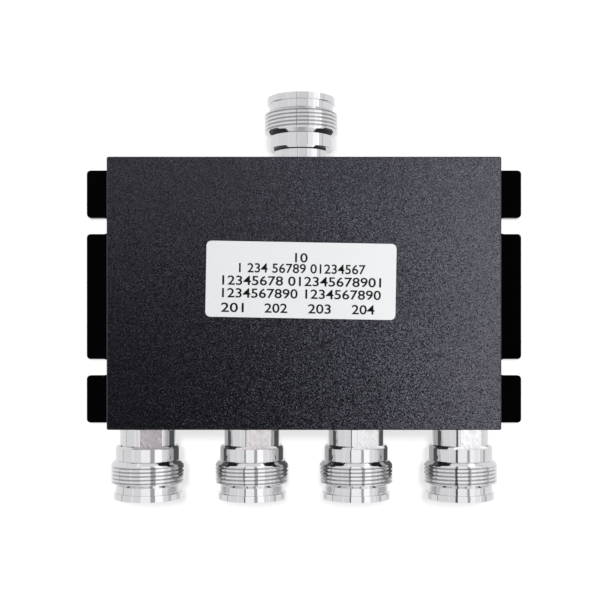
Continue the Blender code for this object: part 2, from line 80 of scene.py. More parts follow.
class Slot(Enum):
    """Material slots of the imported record."""

    HOUSING_COAT = "housing_coat"
    PLATE_COAT = "plate_coat"
    JACK_PLATING = "jack_plating"
    CONTACT_PLATING = "contact_plating"
    INSULATOR = "insulator"
    LABEL = "label"
    SEAL = "seal"
    SCREW = "screw"
    LAMINATE = "laminate"
    STRIP = "strip"


class Value:
    """A number that varies over a surface: a node's socket with Python's operators."""

    def __init__(self, graph: "Graph", socket: bpy.types.NodeSocket) -> None:
        """Wraps a socket.

        Args:
            graph: The graph that the socket's node is in.
            socket: An output that carries a number.
        """
        self.graph = graph
        self.socket = socket

    def _math(self, operation: str, *terms: Any) -> "Value":
        """Adds a Math node for one operation on sockets and numbers."""
        inputs = {index: term for index, term in enumerate(terms)}
        node = self.graph.node("ShaderNodeMath", {"operation": operation}, inputs)
        return Value(self.graph, node.outputs[0])

    def __add__(self, other: Any) -> "Value":
        """This plus other."""
        return self._math("ADD", self, other)

    def __rsub__(self, other: Any) -> "Value":
        """Other minus this."""
        return self._math("SUBTRACT", other, self)

    def __mul__(self, other: Any) -> "Value":
        """This times other."""
        return self._math("MULTIPLY", self, other)

    def __pow__(self, other: Any) -> "Value":
        """This to the power of other."""
        return self._math("POWER", self, other)

    def __abs__(self) -> "Value":
        """This without its sign."""
        return self._math("ABSOLUTE", self)

    def direction(self, other: "Value") -> "Value":
        """The angle in radians whose tangent is this over other."""
        return self._math("ARCTAN2", self, other)

    def length_with(self, other: "Value") -> "Value":
        """The length of the vector that has this and other as its sides."""
        return (self * self + other * other) ** 0.5

    def step(self, at: float, fade: float, start: float = 0.0, end: float = 1.0) -> "Value":
        """Changes from start to end around one place, smoothly over fade on each side of it."""
        return self.ramp(at - fade, at + fade, start, end)

    def varied(self, start: float, end: float) -> "Value":
        """Runs from start to end over the range that most of a noise is in."""
        return self.ramp(*NOISE_RANGE, start, end)

    def ramp(self, low: float, high: float, start: float = 0.0, end: float = 1.0) -> "Value":
        """Runs smoothly from start to end while this runs from low to high.

        Args:
            low: Where the change begins.
            high: Where it ends.
            start: The value up to low.
            end: The value from high on.

        Returns:
            The ramped value.
        """
        node = self.graph.node(
            "ShaderNodeMapRange",
            {"interpolation_type": "SMOOTHSTEP"},
            {0: self, 1: low, 2: high, 3: start, 4: end},
        )
        return Value(self.graph, node.outputs[0])


class Graph:
    """A node tree that materials and the world are drawn in."""

    def __init__(self, tree: bpy.types.NodeTree) -> None:
        """Takes over a tree and empties it."""
        self.tree = tree
        tree.nodes.clear()

    def node(
        self,
        kind: str,
        settings: dict[str, Any] | None = None,
        inputs: dict[int | str, Any] | None = None,
    ) -> bpy.types.Node:
        """Adds one node.

        Args:
            kind: The node's Blender type.
            settings: Its properties.
            inputs: Values, sockets or Values for its input sockets, by name or place.

        Returns:
            The new node.
        """
        made = self.tree.nodes.new(kind)
        for name, setting in (settings or {}).items():
            setattr(made, name, setting)
        for name, given in (inputs or {}).items():
            target = made.inputs[name]
            source = given.socket if isinstance(given, Value) else given
            if isinstance(source, bpy.types.NodeSocket):
                self.tree.links.new(source, target)
            else:
                target.default_value = source
        return made

    def places(self) -> bpy.types.NodeSocket:
        """Object coordinates, which are the frame's own metres."""
        return self.node("ShaderNodeTexCoord").outputs["Object"]

    def split(self, vector: bpy.types.NodeSocket) -> tuple[Value, Value, Value]:
        """The three numbers of a vector."""
        node = self.node("ShaderNodeSeparateXYZ", inputs={0: vector})
        x, y, z = (Value(self, socket) for socket in node.outputs)
        return x, y, z

    def stretched(self, vector: bpy.types.NodeSocket, lengths: Any, turn: Any = (0, 0, 0)) -> Any:
        """The vector for a pattern made longer along each axis, and then turned by the angles."""
        inputs = {"Vector": vector, "Rotation": turn, "Scale": lengths}
        return self.node("ShaderNodeMapping", {"vector_type": "TEXTURE"}, inputs).outputs[0]

    def noise(self, vector: Any, scale: float, detail: float = 2.0, rough: float = 0.5) -> Value:
        """Cloudy noise about 0.5.

        Args:
            vector: Coordinates, or a Value for noise along one line.
            scale: Cells for each metre.
            detail: Octaves.
            rough: Share that each finer octave keeps.

        Returns:
            The noise.
        """
        along_line = isinstance(vector, Value)
        settings = {"noise_dimensions": "1D" if along_line else "3D"}
        place = "W" if along_line else "Vector"
        inputs = {place: vector, "Scale": scale, "Detail": detail, "Roughness": rough}
        return Value(self, self.node("ShaderNodeTexNoise", settings, inputs).outputs[0])

    def blend(self, share: Any, first: Any, second: Any) -> bpy.types.NodeSocket:
        """Mixes two colours, with second in full where share is 1."""
        settings = {"data_type": "RGBA"}
        inputs = {0: share, 6: opaque(first), 7: opaque(second)}
        return self.node("ShaderNodeMix", settings, inputs).outputs[2]

    def relief(self, height: Value, depth: float, over: Any = None) -> Any:
        """A normal that shows height as relief, on top of another normal where one is given.

        Args:
            height: A value up to 1.
            depth: The relief's depth in metres where height is 1.
            over: The normal that it is added to, or None for the surface's own.

        Returns:
            The normal.
        """
        inputs = {"Distance": depth, "Height": height}
        if over is not None:
            inputs["Normal"] = over
        return self.node("ShaderNodeBump", inputs=inputs).outputs[0]

    def grains(self, vector: Any, scale: float, tilt: float) -> Any:
        """A normal that leans a little another way on each small grain of the surface.

        Args:
            vector: Coordinates.
            scale: Grains for each metre.
            tilt: How far they lean, as the slope of the steepest.

        Returns:
            The normal.
        """
        inputs = {"Vector": vector, "Scale": scale, "Detail": 1.0}
        noise = self.node("ShaderNodeTexNoise", inputs=inputs).outputs["Color"]
        terms = {0: noise, 1: (2 * tilt,) * 3, 2: (-tilt,) * 3}
        lean = self.node("ShaderNodeVectorMath", {"operation": "MULTIPLY_ADD"}, terms).outputs[0]
        facing = self.node("ShaderNodeNewGeometry").outputs["Normal"]
        leaning = self.node("ShaderNodeVectorMath", inputs={0: facing, 1: lean}).outputs[0]
        length = {"operation": "NORMALIZE"}
        return self.node("ShaderNodeVectorMath", length, {0: leaning}).outputs[0]

    def surface(self, **inputs: Any) -> None:
        """Ends the graph in a Principled shader with these inputs, underscores for spaces."""
        named = {name.replace("_", " "): given for name, given in inputs.items()}
        shader = self.node("ShaderNodeBsdfPrincipled", inputs=named)
        self.node("ShaderNodeOutputMaterial", inputs={0: shader.outputs[0]})


def opaque(colour: Any) -> Any:
    """A colour of three numbers with its alpha, and anything else as it is."""
    return (*colour, 1.0) if isinstance(colour, tuple) else colour


@dataclass(frozen=True)
class Finish:
    """A surface finish, which knows how to draw its own material."""

    name: str

    def material(self) -> bpy.types.Material:
        """The finish's material, made once."""
        found = bpy.data.materials.get(self.name)
        if found is None:
            found = bpy.data.materials.new(self.name)
            found.use_nodes = True
            self.draw(Graph(found.node_tree))
        return found

    def draw(self, graph: Graph) -> None:
        """Draws the material's nodes."""
        raise NotImplementedError


@dataclass(frozen=True)
class PowderCoat(Finish):
    """Baked black powder: a fine sandy relief over a slow orange peel, with pale grains."""

    low: Colour = (0.0001, 0.0001, 0.0016)
    high: Colour = (0.0008, 0.0008, 0.0034)
    grain: Colour = (0.040, 0.040, 0.049)
    grain_size: float = 0.00030
    grain_share: float = 1.0
    grain_tilt: float = 0.25
    glint_turn: Triple = (0.6, 0.3, 0.0)
    fine_share: float = 2.3
    peel_share: float = 0.28
    cloud_scale: float = 60.0
    glint_range: tuple[float, float] = (0.47, 0.58)
    height_mix: Triple = (0.62, 0.18, 0.20)
    relief: float = 0.00002
    roughness: float = 0.19
    gloss: float = 0.30
    tint: Colour = (0.86, 0.855, 1.0)

    def draw(self, graph: Graph) -> None:
        """Draws the material's nodes."""
        places = graph.places()
        grains = 1 / self.grain_size
        sand = graph.noise(places, grains, 3.0, 0.7)
        fine = graph.noise(places, self.fine_share * grains, 1.0)
        peel = graph.noise(places, self.peel_share * grains, 1.0)
        cloud = graph.noise(places, self.cloud_scale, 2.0)
        turned = graph.stretched(places, (1.0, 1.0, 1.0), self.glint_turn)
        glints = graph.noise(turned, grains, 1.0)
        tips = glints.ramp(*self.glint_range) * self.grain_share * cloud.varied(0.85, 1.0)
        base = graph.blend(tips, graph.blend(sand.ramp(0.30, 0.70), self.low, self.high), self.grain)
        of_sand, of_fine, of_peel = self.height_mix
        height = sand * of_sand + fine * of_fine + peel * of_peel
        leaning = graph.grains(places, grains, self.grain_tilt)
        graph.surface(
            Base_Color=base,
            Metallic=tips,
            Roughness=sand.ramp(0.36, 0.64, self.roughness - 0.06, self.roughness + 0.10),
            Specular_IOR_Level=self.gloss,
            Specular_Tint=opaque(self.tint),
            Normal=graph.relief(height, self.relief, leaning),
        )


@dataclass(frozen=True)
class TurnedMetal(Finish):
    """Bright plating over lathe work, with faint turning lines that go round the axis, and painted shade
    in the thread's roots.
    """

    bright: Colour = (0.63, 0.635, 0.655)
    warm: Colour = (0.645, 0.60, 0.605)
    # Painted shade: the colour that the thread's roots are darkened to.
    root: Colour = (0.40, 0.385, 0.39)
    roughness: float = 0.045
    line_spacing: float = 0.00009
    line_depth: float = 0.0000010
    broad_share: float = 0.12
    smear_scale: float = 420.0
    smear_stretch: Triple = (1.0, 1.0, 3.0)

    def draw(self, graph: Graph) -> None:
        """Draws the material's nodes."""
        attribute = graph.node("ShaderNodeAttribute", {"attribute_name": LATHE_ATTRIBUTE})
        local = attribute.outputs["Vector"]
        x, y, z = graph.split(local)
        along = z + x.length_with(y)
        lines = graph.noise(along, 1 / self.line_spacing, 2.0)
        broad = graph.noise(along, self.broad_share / self.line_spacing, 1.0)
        smears = graph.noise(graph.stretched(local, self.smear_stretch), self.smear_scale, 3.0)
        base = graph.blend(smears.ramp(0.35, 0.75) * broad.ramp(*NOISE_RANGE), self.bright, self.warm)
        # Painted shade: the base colour darkens towards the bottom of the thread's groove, where shade
        # falls.
        depth = graph.node("ShaderNodeAttribute", {"attribute_name": ROOT_ATTRIBUTE}).outputs["Fac"]
        base = graph.blend(Value(graph, depth).ramp(0.6, 1.1), base, self.root)
        rough = smears.ramp(0.35, 0.8, self.roughness, self.roughness * 2.2)
        graph.surface(
            Base_Color=base,
            Metallic=1.0,
            Roughness=rough + lines.ramp(0.4, 0.8, 0.0, 0.03),
            Normal=graph.relief(lines * 0.6 + broad * 0.4, self.line_depth),
        )


@dataclass(frozen=True)
class MilledMetal(Finish):
    """Plating over a milled flat, with slanting cutter marks between two tones."""

    bright: Colour = (0.76, 0.765, 0.78)
    dull: Colour = (0.60, 0.575, 0.585)
    roughness: float = 0.16
    mark_spacing: float = 0.00016
    mark_depth: float = 0.0000030
    mark_turn: float = 38.0
    mark_stretch: Triple = (1.0, 1.0, 16.0)
    cloud_scale: float = 700.0

    def draw(self, graph: Graph) -> None:
        """Draws the material's nodes."""
        attribute = graph.node("ShaderNodeAttribute", {"attribute_name": LATHE_ATTRIBUTE})
        local = attribute.outputs["Vector"]
        turn = (0.0, math.radians(self.mark_turn), 0.0)
        marks = graph.noise(graph.stretched(local, self.mark_stretch, turn), 1 / self.mark_spacing, 2.0)
        cloud = graph.noise(local, self.cloud_scale, 3.0)
        graph.surface(
            Base_Color=graph.blend(marks.ramp(0.35, 0.65) * cloud.ramp(0.3, 0.65), self.bright, self.dull),
            Metallic=1.0,
            Roughness=cloud.varied(self.roughness, self.roughness * 1.8),
            Normal=graph.relief(marks, self.mark_depth),
        )


@dataclass(frozen=True)
class Noise:
    """A pattern of noise: cells for each metre, octaves, and each finer one's share."""

    scale: float
    detail: float = 2.0
    rough: float = 0.5
    stretch: Triple | None = None

    def drawn(self, graph: Graph, places: Any) -> Value:
        """The pattern's value, longer along each axis where it has a stretch."""
        if self.stretch is not None:
            places = graph.stretched(places, self.stretch)
        return graph.noise(places, self.scale, self.detail, self.rough)


@dataclass(frozen=True)
class CloudedFinish(Finish):
    """Two colours and a roughness that drift with a cloud of noise, over a fine relief.

    The relief follows the cloud where it has no noise of its own. Further inputs of the
    shader are named in more.
    """

    colours: tuple[Colour, Colour]
    cover: tuple[float, float]
    roughness: tuple[float, float]
    cloud: Noise
    depth: float
    relief: Noise | None = None
    relief_share: float = 1.0
    metallic: float = 0.0
    more: tuple[tuple[str, Any], ...] = ()

    def draw(self, graph: Graph) -> None:
        """Draws the material's nodes."""
        places = graph.places()
        cloud = height = self.cloud.drawn(graph, places)
        if self.relief is not None:
            height = self.relief.drawn(graph, places)
        if self.relief_share < 1.0:
            height = height * self.relief_share + cloud * (1.0 - self.relief_share)
        graph.surface(
            Base_Color=graph.blend(cloud.ramp(*self.cover), *self.colours),
            Metallic=self.metallic,
            Roughness=cloud.varied(*self.roughness),
            Normal=graph.relief(height, self.depth),
            **dict(self.more),
        )


@dataclass(frozen=True)
class LabelFilm(Finish):
    """White coated label stock with a soft sheen and a hint of the coat's texture below."""

    white: Colour = (0.735, 0.745, 0.755)
    shade: Colour = (0.695, 0.705, 0.72)
    roughness: float = 0.42
    fibre: Noise = Noise(2600.0, 3.0)
    waves: Noise = Noise(160.0, 2.0)

    def draw(self, graph: Graph) -> None:
        """Draws the material's nodes."""
        places = graph.places()
        fibre = self.fibre.drawn(graph, places)
        waves = self.waves.drawn(graph, places)
        graph.surface(
            Base_Color=graph.blend(fibre.ramp(0.3, 0.75) * 0.7, self.white, self.shade),
            Roughness=waves.varied(self.roughness - 0.04, self.roughness + 0.06),
            Specular_IOR_Level=0.4,
            Normal=graph.relief(fibre * 0.35 + waves * 0.65, 0.000018),
        )


@dataclass(frozen=True)
class Laminate(Finish):
    """Glass laminate: a woven cloth that shows faintly through tan resin."""

    resin: Colour = (0.58, 0.55, 0.40)
    thread: Colour = (0.69, 0.67, 0.52)
    weave_pitch: float = 0.0008

    def draw(self, graph: Graph) -> None:
        """Draws the material's nodes."""
        places = graph.places()
        settings = {"bands_direction": "X", "wave_profile": "SIN"}
        shape = {"Vector": places, "Scale": 1 / self.weave_pitch / 3.2, "Distortion": 0.4}
        warp = Value(graph, graph.node("ShaderNodeTexWave", settings, shape).outputs[1])
        settings["bands_direction"] = "Y"
        weft = Value(graph, graph.node("ShaderNodeTexWave", settings, shape).outputs[1])
        weave = warp * 0.5 + weft * 0.5
        cloud = graph.noise(places, 300.0, 3.0)
        graph.surface(
            Base_Color=graph.blend(weave * cloud.ramp(0.2, 0.8, 0.6, 1.0), self.resin, self.thread),
            Roughness=cloud.varied(0.45, 0.6),
            Normal=graph.relief(weave, 0.000008),
        )


@dataclass(frozen=True)
class GlowingBoard(Finish):
    """A matt board that glows evenly, for the white table top and the cards of painted shade."""

    white: Colour = (0.12, 0.12, 0.12)
    glow: float = 0.75

    def draw(self, graph: Graph) -> None:
        """Draws the material's nodes."""
        graph.surface(
            Base_Color=opaque(self.white),
            Roughness=0.9,
            Specular_IOR_Level=0.0,
            Emission_Color=(1.0, 1.0, 1.0, 1.0),
            Emission_Strength=self.glow,
        )


HOUSING_COAT = PowderCoat("black_powder_coat")
PLATE_COAT = PowderCoat(
    "black_plate_coat",
    low=(0.0008, 0.0008, 0.0016),
    high=(0.0022, 0.0022, 0.0036),
    grain_share=0.05,
    grain_tilt=0.05,
    relief=0.000010,
    roughness=0.35,
    gloss=0.08,
)
JACK_PLATING = TurnedMetal("bright_turned_plating")
JACK_FLATS = MilledMetal("bright_milled_plating")
SCUFFED_FLATS = MilledMetal(
    "scuffed_milled_plating",
    bright=(0.60, 0.565, 0.59),
    dull=(0.33, 0.30, 0.31),
    roughness=0.20,
    mark_depth=0.0000040,
)
# A darker copy of the flats' plating, for one jack: only its two colours differ.
DARKER_FLATS = MilledMetal(
    "darker_milled_plating",
    bright=(0.49, 0.47, 0.475),
    dull=(0.40, 0.38, 0.385),
)
CONTACT_PLATING = TurnedMetal(
    "contact_plating",
    bright=(0.80, 0.77, 0.71),
    warm=(0.76, 0.69, 0.60),
    roughness=0.14,
)
WHITE_POLYMER = CloudedFinish(
    "white_insulator",
    colours=((0.80, 0.80, 0.78), (0.70, 0.70, 0.67)),
    cover=(0.35, 0.7),
    roughness=(0.38, 0.48),
    cloud=Noise(500.0, 3.0),
    relief=Noise(6000.0),
    depth=0.000004,
    more=(
        ("Subsurface_Weight", 0.08),
        ("Subsurface_Radius", (0.001, 0.001, 0.0008)),
        ("Subsurface_Scale", 0.5),
    ),
)
LABEL_FILM = LabelFilm("white_label_film")
LABEL_INK = CloudedFinish(
    "label_ink",
    colours=((0.012, 0.012, 0.014), (0.035, 0.035, 0.04)),
    cover=(0.45, 0.75),
    roughness=(0.45, 0.6),
    cloud=Noise(9000.0),
    depth=0.000002,
)
SEAL_RUBBER = CloudedFinish(
    "seal_rubber",
    colours=((0.018, 0.018, 0.019), (0.055, 0.053, 0.05)),
    cover=(0.5, 0.8),
    roughness=(0.62, 0.82),
    cloud=Noise(900.0, 4.0, 0.6),
    depth=0.00001,
)
SCREW_STEEL = CloudedFinish(
    "screw_steel",
    colours=((0.58, 0.58, 0.60), (0.42, 0.42, 0.44)),
    cover=(0.35, 0.7),
    roughness=(0.26, 0.42),
    cloud=Noise(1500.0, 4.0),
    relief=Noise(9000.0, stretch=(1.0, 12.0, 1.0)),
    relief_share=0.5,
    depth=0.000004,
    metallic=1.0,
)
BOARD_LAMINATE = Laminate("board_laminate")
STRIP_COPPER = CloudedFinish(
    "strip_copper",
    colours=((0.80, 0.46, 0.32), (0.50, 0.25, 0.17)),
    cover=(0.4, 0.75),
    roughness=(0.24, 0.42),
    cloud=Noise(260.0, 5.0, 0.6),
    relief=Noise(7000.0, stretch=(25.0, 1.0, 1.0)),
    depth=0.0000015,
    metallic=1.0,
)
FLOOR_WHITE = GlowingBoard("studio_floor")
# Painted shade: glowing cards that reflections alone see, which stand for the shaded floor between the
# jacks, deep and light.
DEEP_SHADE_CARD = GlowingBoard("deep_shade_card", glow=0.08)
LIGHT_SHADE_CARD = GlowingBoard("light_shade_card", glow=0.52)


def deselect() -> None:
    """Leaves edit mode and selects nothing."""
    if bpy.context.object and bpy.context.object.mode != "OBJECT":
        bpy.ops.object.mode_set(mode="OBJECT")
    bpy.ops.object.select_all(action="DESELECT")


@dataclass
class Workpiece:
    """A mesh on the bench, shaped with Blender's modelling operators."""

    body: bpy.types.Object

    @classmethod
    def taken(cls, name: str) -> "Workpiece":
        """Takes the object that an operator has just made, with its place in its mesh."""
        body = bpy.context.object
        body.name = name
        body.data.name = name
        bpy.ops.object.transform_apply(location=True, rotation=True, scale=True)
        return cls(body)

    @classmethod
    def cylinder(cls, name: str, radius: float, low: float, high: float, facets: int) -> "Workpiece":
        """Starts from an upright cylinder on the Z axis, between two heights."""
        deselect()
        bpy.ops.mesh.primitive_cylinder_add(
            vertices=facets,
            radius=radius,
            depth=high - low,
            end_fill_type="NGON",
            location=(0.0, 0.0, (low + high) / 2),
        )
        return cls.taken(name)

    @classmethod
    def block(cls, name: str, low: Sequence[float], high: Sequence[float]) -> "Workpiece":
        """Starts from a block between two corners."""
        deselect()
        near, far = Vector(low), Vector(high)
        bpy.ops.mesh.primitive_cube_add(size=1.0, location=(near + far) / 2, scale=far - near)
        return cls.taken(name)

    @classmethod
    def turned(cls, name: str, profile: Profile, facets: int, ring: bool = False) -> "Workpiece":
        """Turns a solid by extruding and scaling the front face along a profile.

        Args:
            name: The piece's name.
            profile: (radius, height) points from the back, up the outside and down the inside.
                The first two have the same radius, and a ring's last has the first's height.
            facets: Faces in a full turn.
            ring: Whether the inside goes right through.

        Returns:
            The turned workpiece.
        """
        (radius, low), (_, height) = profile[:2]
        made = cls.cylinder(name, radius, low, height, facets)
        with made.editing(Element.FACE):
            made.pick(Element.FACE, lambda face: face.normal.z > FACING)
            for next_radius, next_height in profile[2:]:
                rise = (0.0, 0.0, next_height - height)
                bpy.ops.mesh.extrude_region_move(TRANSFORM_OT_translate={"value": rise})
                share = next_radius / radius
                if share != 1.0:
                    centre = (0.0, 0.0, next_height)
                    bpy.ops.transform.resize(value=(share, share, 1.0), center_override=centre)
                radius, height = next_radius, next_height
            if ring:
                made.open_through(low)
        return made

    def open_through(self, level: float) -> None:
        """Joins the inner and outer rims at one level, where both have a face, into a ring."""
        self.pick(
            Element.FACE,
            lambda face: abs(face.normal.z) > FACING
            and abs(face.calc_center_median().z - level) < TOLERANCE
            and len(face.verts) > 4,
        )
        bpy.ops.mesh.delete(type="ONLY_FACE")
        bpy.ops.mesh.select_mode(type="EDGE")
        bpy.ops.mesh.select_all(action="DESELECT")
        bpy.ops.mesh.select_non_manifold(extend=False)
        bpy.ops.mesh.bridge_edge_loops()
        bpy.ops.mesh.select_mode(type="FACE")

    def activate(self) -> None:
        """Selects this piece alone and makes it the active one."""
        deselect()
        self.body.select_set(True)
        bpy.context.view_layer.objects.active = self.body

    @contextmanager
    def editing(self, element: Element) -> Iterator[None]:
        """Edits the mesh, with nothing picked at first."""
        self.activate()
        bpy.ops.object.mode_set(mode="EDIT")
        bpy.ops.mesh.select_mode(type=element.value)
        bpy.ops.mesh.select_all(action="DESELECT")
        yield
        bpy.ops.object.mode_set(mode="OBJECT")

    def pick(self, element: Element, wanted: Callable[[Any], bool]) -> None:
        """Picks elements by a test while the mesh is edited.

        Args:
            element: What is tested.
            wanted: True for an element to pick.
        """
        bpy.ops.mesh.select_all(action="DESELECT")
        mesh = bmesh.from_edit_mesh(self.body.data)
        for item in mesh.edges if element is Element.EDGE else mesh.faces:
            if wanted(item):
                item.select_set(True)
        bmesh.update_edit_mesh(self.body.data)

    def soften(self, angle: float, width: float, segments: int = 2) -> "Workpiece":
        """Rounds every edge sharper than an angle in degrees."""
        with self.editing(Element.EDGE):
            bpy.ops.mesh.edges_select_sharp(sharpness=math.radians(angle))
            bpy.ops.mesh.bevel(offset=width, segments=segments, affect="EDGES", clamp_overlap=True)
        return self

    def cut(self, tool: "Workpiece") -> "Workpiece":
        """Cuts a tool's shape out of this piece and throws the tool away."""
        step = self.body.modifiers.new(tool.body.name, "BOOLEAN")
        step.operation = "DIFFERENCE"
        step.solver = "EXACT"
        step.object = tool.body
        self.activate()
        bpy.ops.object.modifier_apply(modifier=step.name)
        tool.discard()
        return self

    def clean(self) -> "Workpiece":
        """Merges doubled points, drops faces without area and turns all faces outwards."""
        with self.editing(Element.FACE):
            bpy.ops.mesh.select_all(action="SELECT")
            bpy.ops.mesh.remove_doubles(threshold=MERGE_DISTANCE)
            bpy.ops.mesh.dissolve_degenerate(threshold=MERGE_DISTANCE)
            bpy.ops.mesh.normals_make_consistent(inside=False)
        return self

    def smooth(self, angle: float = 32.0) -> "Workpiece":
        """Shades smooth where faces meet at less than an angle in degrees.

        Large faces keep their own normals, so that rounded edges don't bend the reflections
        beside them.
        """
        self.activate()
        bpy.ops.object.shade_smooth_by_angle(angle=math.radians(angle))
        step = self.body.modifiers.new("even_normals", "WEIGHTED_NORMAL")
        step.keep_sharp = True
        bpy.ops.object.modifier_apply(modifier=step.name)
        return self

    def keep_lathe_places(self) -> "Workpiece":
        """Notes each point's place on the lathe, for finishes that follow the turning."""
        noted = self.body.data.attributes.new(LATHE_ATTRIBUTE, "FLOAT_VECTOR", "POINT")
        for point, vertex in zip(noted.data, self.body.data.vertices):
            point.vector = vertex.co
        return self

    def copied(self, name: str) -> "Workpiece":
        """A copy with its own mesh."""
        self.activate()
        bpy.ops.object.duplicate(linked=False)
        return Workpiece.taken(name)

    def placed(self, matrix: Matrix) -> "Workpiece":
        """Moves the piece, and leaves its object at the origin."""
        self.body.matrix_world = matrix
        self.activate()
        bpy.ops.object.transform_apply(location=True, rotation=True, scale=True)
        return self

    def finished(self, finish: Finish, slot: Slot, *nodes: str) -> "Workpiece":
        """Gives the piece its finish and its place in the product.

        Args:
            finish: The finish all over it, unless it has materials of its own already.
            slot: The record's slot for it. Not used.
            nodes: Frame nodes that it stands for.

        Returns:
            This piece.
        """
        if not self.body.data.materials:
            self.body.data.materials.append(finish.material())
        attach(self.body, BODY)
        if nodes:
            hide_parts(*nodes)
        log.info("%s: %d faces", self.body.name, len(self.body.data.polygons))
        return self

    def discard(self) -> None:
        """Throws the piece away."""
        mesh = self.body.data
        bpy.data.objects.remove(self.body)
        bpy.data.meshes.remove(mesh)


@dataclass(frozen=True)
class Port:
    """One jack's place on the housing."""

    name: str
    side: int
    turn: float
    neck: float
    flats: Finish = JACK_FLATS

    def matrix(self) -> Matrix:
        """Places the lathe's axes: Z out of the wall, and the flats turned about it."""
        low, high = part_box(f"{self.name}_insulator")
        wall_low, wall_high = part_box("housing")
        wall = wall_high.y if self.side > 0 else wall_low.y
        centre = (low + high) / 2
        place = Matrix.Translation((centre.x, wall, centre.z))
        outwards = Matrix.Rotation(-self.side * math.pi / 2, 4, "X")
        flats = Matrix.Rotation(self.side * math.radians(self.turn), 4, "Z")
        return place @ outwards @ flats


PORTS = (
    Port("in", 1, 86.0, 2.6 * MM),
    Port("out_1", -1, 15.0, 4.5 * MM, SCUFFED_FLATS),
    Port("out_2", -1, 18.0, 4.5 * MM, DARKER_FLATS),
    Port("out_3", -1, 25.0, 4.5 * MM),
    Port("out_4", -1, 16.0, 4.5 * MM),
)


